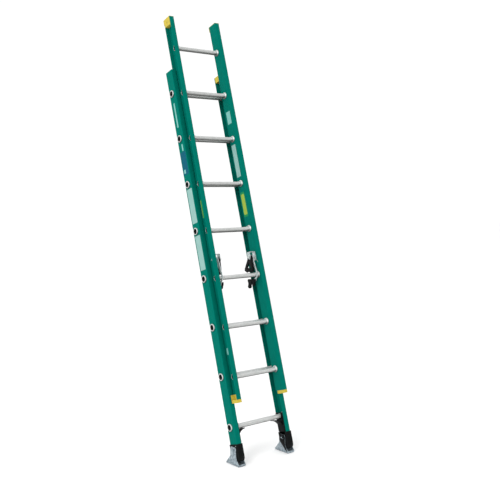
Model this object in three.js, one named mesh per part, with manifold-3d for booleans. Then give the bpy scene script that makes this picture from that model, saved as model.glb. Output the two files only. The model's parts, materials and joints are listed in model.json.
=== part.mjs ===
// Two-section extension ladder, fibreglass rails and aluminium D-rungs, leaning at its
// working angle. Millimetres, +Z up, climber on the -Y side, wall on the +Y side.
//
// Everything except the shoes is drawn in a straight ladder frame: X across the ladder,
// Y through its depth (towards the wall) and Z along the rails, with zero on the axis of
// the base section's bottom rung. One group then leans the whole ladder back.
import * as THREE from 'three';
import Module from 'manifold-3d';
import { mergeVertices } from 'three/addons/utils/BufferGeometryUtils.js';

const wasm = await Module();
wasm.setup();

// ---------------------------------------------------------------- driving dimensions
const LEAN_BACK = THREE.MathUtils.degToRad(14.5); // 75.5 degrees to the floor
const GAP = 0.3; // between pieces that touch on the real ladder

const RUNG_PITCH = 304.8;
const RUNG_COUNT = 8; // in each section
const FLY_RUNG_DROP = 10.7; // fly rungs sit this far below the base rung they pass

const BASE_HALF_WIDTH = 208; // to the outside of the base webs
const RAIL_DEPTH = 73;
const RAIL_FLANGE = 33; // flange width, web included
const RAIL_WALL = 4.5;
const INTERLOCK_GAP = 9; // sideways, between a flange edge and the other rail's web
const FLY_DEPTH_OFFSET = 62.5; // fly rail centre in front of base rail centre

const BASE_RAIL_BOTTOM = -150;
const BASE_RAIL_TOP = 2288;
const FLY_RAIL_BOTTOM = 158;
const FLY_RAIL_TOP = 2630;

const BASE_RUNG_OFFSET = 3; // base rungs sit slightly behind the rail centre
const RUNG_HALF_DEPTH = 16;
const RUNG_TOP = 10; // flat tread above the rung axis
const RUNG_BOTTOM = -15;
const NECK_RADIUS = 17.5; // where the rung passes through the web
const COLLAR_RADIUS = 21.5; // swaged collar inside each web
const INNER_COLLAR = 7; // its length
const BASE_RING = { radius: 23, proud: 8 }; // swaged ring outside the base webs
const FLY_RING = { radius: 20, proud: 3 };

const SHOE_PIVOT = -132;
const SHOE_PIVOT_HEIGHT = 94; // above the floor
const SHOE_BACK = 78; // sole reach behind and in front of the pivot
const SHOE_FRONT = -50;
const SHOE_STEEL = 3;
const PAD_THICKNESS = 10;

const BOLT_RADIUS = 5;
const BOLT_HEAD = 6; // height
const BOLT_END = 10; // from the face its nut bears on to the end of a bolt
const SHOE_NUT = { radius: 9.5, height: 8 };
const LOCK_NUT = { radius: 9, height: 6.7 };
const LOCK_HEAD_RADIUS = 8;

const LOCK_RUNG = 3; // the fly rung that carries the locks, counted from the bottom
const LOCK_PIVOT_HEIGHT = 116; // above that rung
const BRACKET_STEEL = 3;

// ---------------------------------------------------------------- worked out from them
const BASE_WEB_INNER = BASE_HALF_WIDTH - RAIL_WALL;
const FLY_WEB_OUTER = BASE_HALF_WIDTH - RAIL_FLANGE - INTERLOCK_GAP;
const FLY_WEB_INNER = FLY_WEB_OUTER - RAIL_WALL;
const HALF_DEPTH = RAIL_DEPTH / 2;
const CHANNEL_HALF = HALF_DEPTH - RAIL_WALL; // half the clear depth inside a rail
const FLY_Y = -FLY_DEPTH_OFFSET;
const LOCK_Z = LOCK_RUNG * RUNG_PITCH - FLY_RUNG_DROP;

// ---------------------------------------------------------------- materials
const finish = (color, roughness, metalness) =>
  new THREE.MeshStandardMaterial({ color, roughness, metalness });

const fibreglass = finish('#0a7d6c', 0.45, 0);
const aluminium = finish('#c4c8ca', 0.35, 1);
const yellowPlastic = finish('#d8c03c', 0.5, 0);
const blackPlastic = finish('#15181b', 0.55, 0);
const blackSteel = finish('#1b1e20', 0.5, 0.6);
const galvanised = finish('#9aa4aa', 0.45, 0.9);
const zincSteel = finish('#c2c6c4', 0.35, 1);
const rubber = finish('#1c1c1c', 0.9, 0);

// ---------------------------------------------------------------- solid helpers
function toSolid(geometry) {
  const bare = geometry.clone();
  bare.deleteAttribute('normal');
  bare.deleteAttribute('uv');
  const merged = mergeVertices(bare, 1e-4);
  return new wasm.Manifold(new wasm.Mesh({
    numProp: 3,
    vertProperties: new Float32Array(merged.attributes.position.array),
    triVerts: new Uint32Array(merged.index.array),
  }));
}

function toGeometry(solid) {
  const mesh = solid.getMesh();
  const geometry = new THREE.BufferGeometry();
  geometry.setAttribute('position', new THREE.BufferAttribute(mesh.vertProperties, 3));
  geometry.setIndex(new THREE.BufferAttribute(mesh.triVerts, 1));
  return geometry;
}

const join = (first, ...others) =>
  toGeometry(others.reduce((solid, g) => solid.add(toSolid(g)), toSolid(first)));

const cut = (first, ...others) =>
  toGeometry(others.reduce((solid, g) => solid.subtract(toSolid(g)), toSolid(first)));

// A closed outline through [x, y, radius] corners, each rounded by its own radius.
function outline(corners) {
  const shape = new THREE.Shape();
  const count = corners.length;
  corners.forEach(([x, y, radius = 0], i) => {
    const corner = new THREE.Vector2(x, y);
    const before = new THREE.Vector2(...corners[(i + count - 1) % count].slice(0, 2));
    const after = new THREE.Vector2(...corners[(i + 1) % count].slice(0, 2));
    const start = before.sub(corner).setLength(radius).add(corner);
    const end = after.sub(corner).setLength(radius).add(corner);
    if (i === 0) shape.moveTo(start.x, start.y);
    else shape.lineTo(start.x, start.y);
    if (radius > 0) shape.quadraticCurveTo(x, y, end.x, end.y);
  });
  shape.closePath();
  return shape;
}

const rectangle = (x0, y0, x1, y1, radius = 0) =>
  outline([[x0, y0, radius], [x1, y0, radius], [x1, y1, radius], [x0, y1, radius]]);

// Extrude an (x, y) outline along Z.
function extrudeZ(shape, z0, z1, curveSegments = 3) {
  const depth = z1 - z0;
  return new THREE.ExtrudeGeometry(shape, { depth, bevelEnabled: false, curveSegments })
    .translate(0, 0, z0);
}

// Extrude a (y, z) outline along X, between two x values given in either order.
const YZ_OUTLINE = new THREE.Matrix4().makeBasis(
  new THREE.Vector3(0, 1, 0), new THREE.Vector3(0, 0, 1), new THREE.Vector3(1, 0, 0));

function extrudeX(shape, x0, x1, curveSegments = 3) {
  return extrudeZ(shape, Math.min(x0, x1), Math.max(x0, x1), curveSegments)
    .applyMatrix4(YZ_OUTLINE);
}

// Extrude an (x, z) outline along Y, between y0 and y1.
function extrudeY(shape, y0, y1, curveSegments = 3) {
  return extrudeZ(shape, -y1, -y0, curveSegments).rotateX(Math.PI / 2);
}

// A round rod along X.
function rodX(radius, x0, x1, y, z, sides = 12) {
  return new THREE.CylinderGeometry(radius, radius, Math.abs(x1 - x0), sides)
    .rotateZ(Math.PI / 2)
    .translate((x0 + x1) / 2, y, z);
}

// A hole along X whose flats clear a rod of this radius by the gap, however it is turned.
function holeX(radius, x0, x1, y, z, sides = 12) {
  return rodX((radius + GAP) / Math.cos(Math.PI / sides), x0, x1, y, z, sides);
}

function block(x0, y0, z0, x1, y1, z1) {
  return new THREE.BoxGeometry(Math.abs(x1 - x0), Math.abs(y1 - y0), Math.abs(z1 - z0))
    .translate((x0 + x1) / 2, (y0 + y1) / 2, (z0 + z1) / 2);
}

const SIDES = [['left', -1], ['right', 1]];
const ladder = new THREE.Group();

function add(name, geometry, material, parent = ladder) {
  const mesh = new THREE.Mesh(geometry, material);
  mesh.name = name;
  parent.add(mesh);
  return mesh;
}

// ---------------------------------------------------------------- rails
// C-channel plan: the web lies at webX and the flanges point along reach (+1 or -1) in X.
// grow thickens it all round, to cut the room it needs out of a cap.
function channelShape(webX, reach, centreY, grow = 0) {
  const outside = webX - reach * grow;
  const tip = webX + reach * (RAIL_FLANGE + grow);
  const inside = webX + reach * (RAIL_WALL + grow);
  const outer = HALF_DEPTH + grow;
  const inner = CHANNEL_HALF - grow;
  const soft = grow ? 0 : 1;
  return outline([
    [outside, centreY - outer, 4 * soft],
    [tip, centreY - outer, 1.2 * soft],
    [tip, centreY - inner, 1.2 * soft],
    [inside, centreY - inner, 2.5],
    [inside, centreY + inner, 2.5],
    [tip, centreY + inner, 1.2 * soft],
    [tip, centreY + outer, 1.2 * soft],
    [outside, centreY + outer, 4 * soft],
  ]);
}

const baseRungZ = (i) => i * RUNG_PITCH;
const flyRungZ = (i) => (i + 1) * RUNG_PITCH - FLY_RUNG_DROP;

function rungHoles(side, webInner, webOuter, y, heightOf) {
  const holes = [];
  for (let i = 0; i < RUNG_COUNT; i += 1) {
    holes.push(holeX(NECK_RADIUS, side * (webInner - 1), side * (webOuter + 1), y, heightOf(i)));
  }
  return holes;
}

for (const [name, side] of SIDES) {
  const baseBar = extrudeZ(channelShape(side * BASE_HALF_WIDTH, -side, 0),
    BASE_RAIL_BOTTOM, BASE_RAIL_TOP, 2);
  add(`base_rail_${name}`, cut(baseBar,
    ...rungHoles(side, BASE_WEB_INNER, BASE_HALF_WIDTH, BASE_RUNG_OFFSET, baseRungZ),
    holeX(BOLT_RADIUS, side * (BASE_WEB_INNER - 1), side * (BASE_HALF_WIDTH + 1), 0, SHOE_PIVOT),
  ), fibreglass);

  const flyBar = extrudeZ(channelShape(side * FLY_WEB_INNER, side, FLY_Y),
    FLY_RAIL_BOTTOM, FLY_RAIL_TOP, 2);
  add(`fly_rail_${name}`, cut(flyBar,
    ...rungHoles(side, FLY_WEB_INNER, FLY_WEB_OUTER, FLY_Y, flyRungZ),
    holeX(BOLT_RADIUS, side * (FLY_WEB_INNER - 1), side * (FLY_WEB_OUTER + 1),
      FLY_Y, LOCK_Z + LOCK_PIVOT_HEIGHT),
  ), fibreglass);
}

// ---------------------------------------------------------------- rungs
// D section with a flat tread on top. The rungs are turned against the lean, so that the
// treads are level when the ladder stands at its working angle.
function dShape(scale) {
  const halfDepth = RUNG_HALF_DEPTH * scale;
  const top = RUNG_TOP * scale;
  const bottom = RUNG_BOTTOM * scale;
  return outline([
    [-halfDepth, top, 3 * scale],
    [-halfDepth, bottom, 14 * scale],
    [halfDepth, bottom, 14 * scale],
    [halfDepth, top, 3 * scale],
  ]);
}

// The swaged end: an inner collar, the neck in the web and the ring outside it.
function swagedEnd(side, webInner, webOuter, ring) {
  const profile = [
    [0, webInner - GAP - INNER_COLLAR],
    [COLLAR_RADIUS, webInner - GAP - INNER_COLLAR],
    [COLLAR_RADIUS, webInner - GAP],
    [NECK_RADIUS, webInner - GAP],
    [NECK_RADIUS, webOuter + GAP],
    [ring.radius, webOuter + GAP],
    [ring.radius, webOuter + ring.proud],
    [0, webOuter + ring.proud],
  ].map(([r, along]) => new THREE.Vector2(r, along));
  return new THREE.LatheGeometry(profile, 12).rotateZ(-side * Math.PI / 2);
}

function rungGeometry(webInner, webOuter, ring) {
  const end = webOuter + ring.proud;
  const body = extrudeX(dShape(1), -(webInner - 2), webInner - 2);
  const hollow = extrudeX(dShape(0.8), -(end + 1), end + 1);
  const ends = SIDES.map(([, side]) => swagedEnd(side, webInner, webOuter, ring));
  return cut(join(body, ...ends), hollow);
}

const baseRung = rungGeometry(BASE_WEB_INNER, BASE_HALF_WIDTH, BASE_RING);
const flyRung = rungGeometry(FLY_WEB_INNER, FLY_WEB_OUTER, FLY_RING);

for (let i = 0; i < RUNG_COUNT; i += 1) {
  const base = add(`base_rung_${i + 1}`, baseRung, aluminium);
  base.position.set(0, BASE_RUNG_OFFSET, baseRungZ(i));
  base.rotation.x = LEAN_BACK;
  const fly = add(`fly_rung_${i + 1}`, flyRung, aluminium);
  fly.position.set(0, FLY_Y, flyRungZ(i));
  fly.rotation.x = LEAN_BACK;
}

// ---------------------------------------------------------------- moulded rail end caps
// Base top cap: a hollow plug pressed between the flanges. Its front stops short of the
// groove that the fly section's back flange runs in.
const BASE_CAP_DEPTH = 36;
const CAP_PROUD = 2; // above the end of the rail
const CAP_WALL = 4;
const GROOVE_FRONT = -21; // the plug's front, clear of the fly's back flange

function baseTopCap(side) {
  const inside = side * (BASE_WEB_INNER - GAP);
  const tip = side * (BASE_HALF_WIDTH - RAIL_FLANGE);
  const back = CHANNEL_HALF - GAP;
  const low = BASE_RAIL_TOP - BASE_CAP_DEPTH;
  const high = BASE_RAIL_TOP + CAP_PROUD;
  const plug = extrudeZ(rectangle(inside, GROOVE_FRONT, tip, back, 3), low, high);
  const lip = extrudeZ(rectangle(inside, GROOVE_FRONT, tip, HALF_DEPTH, 2),
    BASE_RAIL_TOP + GAP, high);
  const pocket = extrudeZ(rectangle(inside - side * CAP_WALL, GROOVE_FRONT + CAP_WALL,
    tip + side * CAP_WALL, back - CAP_WALL, 2), low - 1, BASE_RAIL_TOP - CAP_WALL);
  return cut(join(plug, lip), pocket);
}

// Fly top cap: a plug between the flanges, a thin cover over the end of the rail and a pad
// behind the back flange that rests on the wall.
const FLY_PLUG_DEPTH = 52;
const WALL_PAD_DEPTH = 34;
const WALL_PAD = 3;
const FLY_CAP_PROUD = 1;

function flyTopCap(side) {
  const webX = side * FLY_WEB_INNER;
  const tip = side * (FLY_WEB_INNER + RAIL_FLANGE + FLY_CAP_PROUD);
  const plugFront = FLY_Y - CHANNEL_HALF + GAP;
  const plugBack = FLY_Y + CHANNEL_HALF - GAP;
  const back = FLY_Y + HALF_DEPTH + WALL_PAD;
  const low = FLY_RAIL_TOP - FLY_PLUG_DEPTH;
  const padLow = FLY_RAIL_TOP - WALL_PAD_DEPTH;
  const seat = FLY_RAIL_TOP + GAP;
  const top = FLY_RAIL_TOP + CAP_PROUD;
  const shell = extrudeX(outline([
    [plugFront, low, 5],
    [plugBack, low, 5],
    [plugBack, padLow],
    [back, padLow, 2],
    [back, top, 2],
    [FLY_Y - HALF_DEPTH, top, 1],
    [FLY_Y - HALF_DEPTH, seat],
    [plugFront, seat],
  ]), webX, tip);
  const railRoom = extrudeZ(channelShape(webX, side, FLY_Y, GAP), low - 1, seat, 1);
  return cut(shell, railRoom);
}

// Fly bottom cap: a block under the end of the rail, with a hollow plug between the flanges.
// It stops short of the groove that the base section's front flange runs in.
const GUIDE_DEPTH = 30;
const GUIDE_FLOOR = 20;
const GUIDE_BACK = 23; // behind the fly rail's centre, clear of the base's front flange

function flyBottomCap(side) {
  const webX = side * FLY_WEB_INNER;
  const low = FLY_RAIL_BOTTOM - GUIDE_FLOOR;
  const high = FLY_RAIL_BOTTOM + GUIDE_DEPTH;
  const body = extrudeZ(rectangle(webX, FLY_Y - HALF_DEPTH,
    webX + side * RAIL_FLANGE, FLY_Y + GUIDE_BACK, 2), low, high);
  const railRoom = extrudeZ(channelShape(webX, side, FLY_Y, GAP),
    FLY_RAIL_BOTTOM - GAP, high + 1, 1);
  const pocket = block(webX + side * (RAIL_WALL + 3), FLY_Y - CHANNEL_HALF + 4, FLY_RAIL_BOTTOM,
    webX + side * (RAIL_FLANGE + 1), FLY_Y + GUIDE_BACK - 4, high + 1);
  return cut(body, railRoom, pocket);
}

for (const [name, side] of SIDES) {
  add(`base_top_cap_${name}`, baseTopCap(side), yellowPlastic);
  add(`fly_top_cap_${name}`, flyTopCap(side), yellowPlastic);
  add(`fly_guide_cap_${name}`, flyBottomCap(side), yellowPlastic);
}

// ---------------------------------------------------------------- foot end of the base rails
const BOOT_TOP = -100;
const BOOT_BOTTOM = -206;
const BOOT_WALL = 3;
const BOOT_INNER_X = 170;

function footBoot(side) {
  const half = HALF_DEPTH + BOOT_WALL;
  const shell = extrudeX(outline([
    [-half, BOOT_TOP, 3],
    [-half, BOOT_BOTTOM, 34],
    [half, BOOT_BOTTOM, 34],
    [half, BOOT_TOP, 3],
  ]), side * (BASE_HALF_WIDTH + BOOT_WALL), side * BOOT_INNER_X);
  const railRoom = extrudeZ(channelShape(side * BASE_HALF_WIDTH, -side, 0, GAP),
    BASE_RAIL_BOTTOM - GAP, BOOT_TOP + 1, 1);
  const pocket = block(side * (BASE_WEB_INNER - 5), -CHANNEL_HALF + 3, SHOE_PIVOT + 12,
    side * (BOOT_INNER_X - 1), CHANNEL_HALF - 3, BOOT_TOP + 1);
  const boltHole = holeX(BOLT_RADIUS, side * (BOOT_INNER_X - 1),
    side * (BASE_HALF_WIDTH + BOOT_WALL + 1), 0, SHOE_PIVOT);
  return cut(shell, railRoom, pocket, boltHole);
}

// Plate over the channel's mouth that the bottom rung passes through, with a bent arm from
// it to the underside of that rung.
const BRACE_STEEL = 4;
const BRACE_TOP = 22;
const BRACE_BOTTOM = -98;
const BRACE_HALF_WIDTH = 34;
const ARM_HALF_WIDTH = 22;
const ARM_REACH = 60; // along the rung, from the flange tips
const RUNG_ROOM = 21; // radius of the hole for the rung

function rungBrace(side) {
  const seat = RUNG_BOTTOM - 2.6; // just under the turned D section
  const tip = BASE_HALF_WIDTH - RAIL_FLANGE - GAP;
  const plate = extrudeX(rectangle(-BRACE_HALF_WIDTH, BRACE_BOTTOM, BRACE_HALF_WIDTH, BRACE_TOP, 5),
    side * tip, side * (tip - BRACE_STEEL));
  const at = (inset, z, radius = 0) => [side * (tip - inset), z, radius];
  const arm = extrudeY(outline([
    at(1, -42), at(10, -37, 10), at(36, seat - 1.5, 14), at(ARM_REACH, seat),
    at(ARM_REACH, seat - BRACE_STEEL), at(38, seat - 6.5, 14), at(13, -44, 12), at(4, -62), at(1, -62),
  ]), BASE_RUNG_OFFSET - ARM_HALF_WIDTH, BASE_RUNG_OFFSET + ARM_HALF_WIDTH, 5);
  return cut(join(plate, arm),
    rodX(RUNG_ROOM, side * (tip + 1), side * (tip - BRACE_STEEL - 1), BASE_RUNG_OFFSET, 0, 16));
}

for (const [name, side] of SIDES) {
  add(`foot_boot_${name}`, footBoot(side), blackPlastic);
  add(`bottom_rung_brace_${name}`, rungBrace(side), blackSteel);
}

// ---------------------------------------------------------------- bolts and nuts
function hexBolt(headX, endX, headRadius, y, z) {
  const inward = Math.sign(endX - headX);
  const head = rodX(headRadius, headX, headX + inward * BOLT_HEAD, y, z, 6);
  return join(head, rodX(BOLT_RADIUS, headX + inward, endX, y, z));
}

function nut(x0, x1, radius, y, z, sides) {
  const hole = holeX(BOLT_RADIUS, Math.min(x0, x1) - 1, Math.max(x0, x1) + 1, y, z);
  return cut(rodX(radius, x0, x1, y, z, sides), hole);
}

// ---------------------------------------------------------------- swivel shoes
// Drawn level, with zero on the pivot: Y runs back towards the wall and Z up.
const SHOE_OUTER_X = 216.5;
const SHOE_INNER_X = 164.5;

const SKIRT_CLEAR = 3; // from the floor to the skirts round the pad

function shoeShell(side) {
  const skirt = -SHOE_PIVOT_HEIGHT + SKIRT_CLEAR;
  const sole = -SHOE_PIVOT_HEIGHT + PAD_THICKNESS + GAP;
  const outer = side * (SHOE_OUTER_X - SHOE_STEEL);
  const inner = side * (SHOE_INNER_X + SHOE_STEEL);
  const plate = outline([
    [-24, 18, 14],
    [-24, -48, 16],
    [SHOE_FRONT, sole + 4, 3],
    [SHOE_FRONT, skirt],
    [SHOE_BACK, skirt],
    [SHOE_BACK, skirt + 4],
    [33, -39, 8],
    [30, 18, 16],
  ]);
  const body = extrudeX(plate, side * SHOE_OUTER_X, side * SHOE_INNER_X, 4);
  const bootRoom = block(outer, SHOE_FRONT - 1, sole + SHOE_STEEL, inner, SHOE_BACK + 1, 30);
  const padRoom = block(outer, SHOE_FRONT + SHOE_STEEL, skirt - 1, inner, SHOE_BACK + 1, sole);
  const boltHole = holeX(BOLT_RADIUS, side * (SHOE_INNER_X - 1), side * (SHOE_OUTER_X + 1), 0, 0);
  return cut(body, bootRoom, padRoom, boltHole);
}

// Rubber tread between the skirts, with ribs across it.
const PAD_RIBS = 8;
const PAD_GROOVE = 4;

function shoePad(side) {
  const low = -SHOE_PIVOT_HEIGHT;
  const top = low + PAD_THICKNESS;
  const front = SHOE_FRONT + SHOE_STEEL + GAP;
  const pitch = (SHOE_BACK - 1 - front) / (PAD_RIBS - 0.35);
  const ribWidth = pitch * 0.65;
  const corners = [[SHOE_BACK - 1, top], [front, top]];
  for (let i = 0; i < PAD_RIBS; i += 1) {
    const start = front + i * pitch;
    corners.push([start, low], [start + ribWidth, low]);
    if (i < PAD_RIBS - 1) {
      corners.push([start + ribWidth, low + PAD_GROOVE], [start + pitch, low + PAD_GROOVE]);
    }
  }
  return extrudeX(outline(corners), side * (SHOE_OUTER_X - SHOE_STEEL - GAP),
    side * (SHOE_INNER_X + SHOE_STEEL + GAP));
}

const level = new THREE.Group();
level.position.set(0, 0, SHOE_PIVOT);
level.rotation.x = LEAN_BACK;
ladder.add(level);

for (const [name, side] of SIDES) {
  add(`shoe_${name}`, shoeShell(side), galvanised, level);
  add(`shoe_pad_${name}`, shoePad(side), rubber, level);
  const head = side * (SHOE_OUTER_X + GAP + BOLT_HEAD);
  const nutX = side * (SHOE_INNER_X - GAP);
  const end = nutX - side * BOLT_END;
  const nutEnd = nutX - side * SHOE_NUT.height;
  add(`shoe_bolt_${name}`, hexBolt(head, end, SHOE_NUT.radius, 0, 0), zincSteel, level);
  add(`shoe_nut_${name}`, nut(nutX, nutEnd, SHOE_NUT.radius, 0, 0, 6), zincSteel, level);
}

// ---------------------------------------------------------------- rung locks
// Drawn around the fly rung that carries them: y and z are zero on that rung's axis, and
// inset is the distance in from the fly web.
const FINGER_PIVOT = [30, -44];
const FINGER_PIN_RADIUS = 3.5;
const PLATE_INSET = [24, 28];
const HOOK_INSET = [30.4, 41];
const FINGER_INSET = [28.5, 41];
const PIN_HEAD = { radius: 6, height: 2.7 };
const PIN_END = 4; // length of its headed end on the other side of the plate

// A point on an arc about the lock's pivot, angle in degrees back from straight down.
function swing(radius, degrees, rounding = 0) {
  const angle = THREE.MathUtils.degToRad(degrees);
  return [radius * Math.sin(angle), LOCK_PIVOT_HEIGHT - radius * Math.cos(angle), rounding];
}

function swingArc(radius, from, to, steps) {
  const points = [];
  for (let i = 0; i <= steps; i += 1) points.push(swing(radius, from + (to - from) * i / steps));
  return points;
}

// Hook casting: it bears on the base rung with an underside that is an arc about the
// pivot, so it can swing clear while it still rests on the rung.
const RUNG_CLEARANCE_ARC = 97;
const HOOK_SEAT_ARC = 106.5;

function lockHook(insetX) {
  const shape = outline([
    swing(13, -150, 5),
    swing(13, 150, 5),
    swing(17, 100, 4),
    swing(98, 50, 5),
    ...swingArc(HOOK_SEAT_ARC, 47, 32, 3),
    ...swingArc(RUNG_CLEARANCE_ARC, 31, -4, 4),
    swing(17, -80, 4),
  ]);
  const window = outline([swing(38, 28, 6), swing(78, 40, 6), swing(80, 5, 6)]);
  const [near, far] = HOOK_INSET;
  const body = extrudeX(shape, insetX(near), insetX(far));
  return cut(body,
    extrudeX(window, insetX(near - 1), insetX(far + 1)),
    holeX(BOLT_RADIUS, insetX(near - 1), insetX(far + 1), 0, LOCK_PIVOT_HEIGHT));
}

// Steel side plate: from the pivot down in front of the fly rung, then back below the
// rungs to the finger.
function lockPlate(insetX) {
  const shape = outline([
    [-13, LOCK_PIVOT_HEIGHT + 13, 10],
    [13, LOCK_PIVOT_HEIGHT + 13, 10],
    [11, LOCK_PIVOT_HEIGHT - 16, 8],
    [-18.7, 20, 6],
    [-18.7, -13, 4],
    [10, -24, 6],
    [42, -33, 8],
    [40, -62, 10],
    [18, -66, 10],
    [-32, -4, 12],
  ]);
  const [near, far] = PLATE_INSET;
  const plate = extrudeX(shape, insetX(near), insetX(far));
  const fold = extrudeX(outline([
    [-17, LOCK_PIVOT_HEIGHT - 22],
    [-13.5, LOCK_PIVOT_HEIGHT - 22],
    [-24.5, 8],
    [-28, 8],
  ]), insetX(near + 0.5), insetX(far + 2));
  return cut(join(plate, fold),
    holeX(BOLT_RADIUS, insetX(near - 1), insetX(far + 3), 0, LOCK_PIVOT_HEIGHT),
    holeX(FINGER_PIN_RADIUS, insetX(near - 1), insetX(far + 3), ...FINGER_PIVOT));
}

// Finger under the rungs: a body ahead of its pin and a lobe that hangs behind it.
function lockFinger(insetX) {
  const [y, z] = FINGER_PIVOT;
  const [near, far] = FINGER_INSET;
  const claw = outline([
    [-6, -30, 3], [60, -17, 5], [67, -24, 4], [64, -46, 8], [77, -66, 7], [66, -79, 8],
    [50, -74, 6], [46, -52, 8], [32, -54, 6], [22, -71, 4], [12, -68, 5], [-8, -38, 4],
  ]);
  return cut(extrudeX(claw, insetX(near), insetX(far), 2),
    holeX(FINGER_PIN_RADIUS, insetX(near - 1), insetX(far + 1), y, z));
}

function fingerPin(insetX) {
  const [y, z] = FINGER_PIVOT;
  const near = PLATE_INSET[0] - GAP;
  const far = FINGER_INSET[1] + GAP;
  return join(rodX(FINGER_PIN_RADIUS, insetX(near - 1), insetX(far + 1), y, z),
    rodX(PIN_HEAD.radius, insetX(far), insetX(far + PIN_HEAD.height), y, z),
    rodX(PIN_HEAD.radius, insetX(near - PIN_END), insetX(near), y, z));
}

// Inverted U over the lock, held against the fly web by the pivot bolt.
const BRACKET_TOP = 150;
const BRACKET_INSET = 46;
const BRACKET_HALF_WIDTH = 15;
const BRACKET_RAIL_END = 92; // bottom of the leg on the fly web
const BRACKET_FREE_END = 102; // bottom of the other leg

function lockBracket(insetX) {
  const strap = outline([
    [insetX(GAP), BRACKET_RAIL_END],
    [insetX(GAP), BRACKET_TOP, 5],
    [insetX(BRACKET_INSET), BRACKET_TOP, 5],
    [insetX(BRACKET_INSET), BRACKET_FREE_END],
    [insetX(BRACKET_INSET - BRACKET_STEEL), BRACKET_FREE_END],
    [insetX(BRACKET_INSET - BRACKET_STEEL), BRACKET_TOP - BRACKET_STEEL, 2],
    [insetX(GAP + BRACKET_STEEL), BRACKET_TOP - BRACKET_STEEL, 2],
    [insetX(GAP + BRACKET_STEEL), BRACKET_RAIL_END],
  ]);
  return cut(extrudeY(strap, -BRACKET_HALF_WIDTH, BRACKET_HALF_WIDTH, 2),
    holeX(BOLT_RADIUS, insetX(-1), insetX(BRACKET_INSET + 1), 0, LOCK_PIVOT_HEIGHT));
}

// Torsion spring: a leg against the rail, open turns around the pivot bolt and a leg beside
// the lock's plate.
const SPRING_WIRE = 0.8;
const SPRING_RADIUS = 8.5;
const SPRING_TURNS = 5.4;
const SPRING_INSET = [4.6, 22.4]; // from its first turn to its last
const SPRING_STEPS = 45;
const RAIL_LEG_END = [-30, LOCK_PIVOT_HEIGHT - 40];
const PLATE_LEG_END = [16, LOCK_PIVOT_HEIGHT - 28];

function lockSpring(insetX) {
  const [from, to] = SPRING_INSET;
  const points = [new THREE.Vector3(insetX(from), ...RAIL_LEG_END)];
  for (let i = 0; i <= SPRING_STEPS; i += 1) {
    const turn = 2 * Math.PI * SPRING_TURNS * i / SPRING_STEPS;
    points.push(new THREE.Vector3(insetX(from + (to - from) * i / SPRING_STEPS),
      -SPRING_RADIUS * Math.cos(turn), LOCK_PIVOT_HEIGHT + SPRING_RADIUS * Math.sin(turn)));
  }
  points.push(new THREE.Vector3(insetX(to), ...PLATE_LEG_END));
  const path = new THREE.CatmullRomCurve3(points, false, 'centripetal');
  const wire = new THREE.Shape().absarc(0, 0, SPRING_WIRE, 0, 2 * Math.PI);
  const steps = SPRING_STEPS + 10;
  return new THREE.ExtrudeGeometry(wire, { extrudePath: path, steps, curveSegments: 3 });
}

for (const [name, side] of SIDES) {
  const insetX = (inset) => side * (FLY_WEB_INNER - inset);
  const lock = new THREE.Group();
  lock.position.set(0, FLY_Y, LOCK_Z);
  ladder.add(lock);
  add(`lock_bracket_${name}`, lockBracket(insetX), galvanised, lock);
  const head = insetX(-RAIL_WALL - GAP - BOLT_HEAD);
  const end = insetX(BRACKET_INSET + BOLT_END);
  const nutX = insetX(BRACKET_INSET + GAP);
  const nutEnd = insetX(BRACKET_INSET + GAP + LOCK_NUT.height);
  add(`lock_bolt_${name}`, hexBolt(head, end, LOCK_HEAD_RADIUS, 0, LOCK_PIVOT_HEIGHT), zincSteel, lock);
  add(`lock_nut_${name}`, nut(nutX, nutEnd, LOCK_NUT.radius, 0, LOCK_PIVOT_HEIGHT, 12), zincSteel, lock);
  add(`lock_spring_${name}`, lockSpring(insetX), zincSteel, lock);
  add(`lock_hook_${name}`, lockHook(insetX), blackSteel, lock);
  add(`lock_plate_${name}`, lockPlate(insetX), galvanised, lock);
  add(`lock_finger_${name}`, lockFinger(insetX), blackPlastic, lock);
  add(`finger_pin_${name}`, fingerPin(insetX), zincSteel, lock);
}

// ---------------------------------------------------------------- lean and origin
// Lean the ladder back, then put the origin at the bottom centre of its box.
ladder.rotation.x = -LEAN_BACK;
ladder.updateMatrixWorld(true);
const box = new THREE.Box3().setFromObject(ladder, true);
ladder.position.set(0, -(box.min.y + box.max.y) / 2, -box.min.z);

const model = new THREE.Group();
model.add(ladder);

export default model;
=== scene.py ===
"""Looks of a two-section fibreglass extension ladder, leaning at its working angle.

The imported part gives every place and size. Pieces are drawn in millimetres in the part's
straight ladder frame (X across, Y through its depth towards the wall, Z along the rails,
zero on the bottom rung's axis), for the +X side, and mirrored for the -X side.
"""
import json
import math

import bmesh
import bpy
from mathutils import Matrix, Vector


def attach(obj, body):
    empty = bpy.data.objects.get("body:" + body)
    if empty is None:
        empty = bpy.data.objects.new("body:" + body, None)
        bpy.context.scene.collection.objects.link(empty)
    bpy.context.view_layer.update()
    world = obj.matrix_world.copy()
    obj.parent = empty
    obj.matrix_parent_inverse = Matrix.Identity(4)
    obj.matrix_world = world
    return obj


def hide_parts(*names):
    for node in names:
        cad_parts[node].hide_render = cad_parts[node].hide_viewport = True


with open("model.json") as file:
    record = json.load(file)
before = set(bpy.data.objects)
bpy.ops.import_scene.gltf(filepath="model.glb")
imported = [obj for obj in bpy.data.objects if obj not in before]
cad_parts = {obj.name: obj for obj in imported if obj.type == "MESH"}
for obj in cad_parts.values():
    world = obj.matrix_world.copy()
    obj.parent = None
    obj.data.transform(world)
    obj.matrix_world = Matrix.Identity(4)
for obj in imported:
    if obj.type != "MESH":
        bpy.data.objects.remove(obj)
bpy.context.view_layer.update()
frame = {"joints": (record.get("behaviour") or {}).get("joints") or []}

# ------------------------------------------------------------ driving dimensions (mm)
RUNG_PITCH = 304.8
RUNG_COUNT = 8
FLY_RUNG_DROP = 10.7
BASE_WEB = 208  # outside of the base webs
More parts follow.
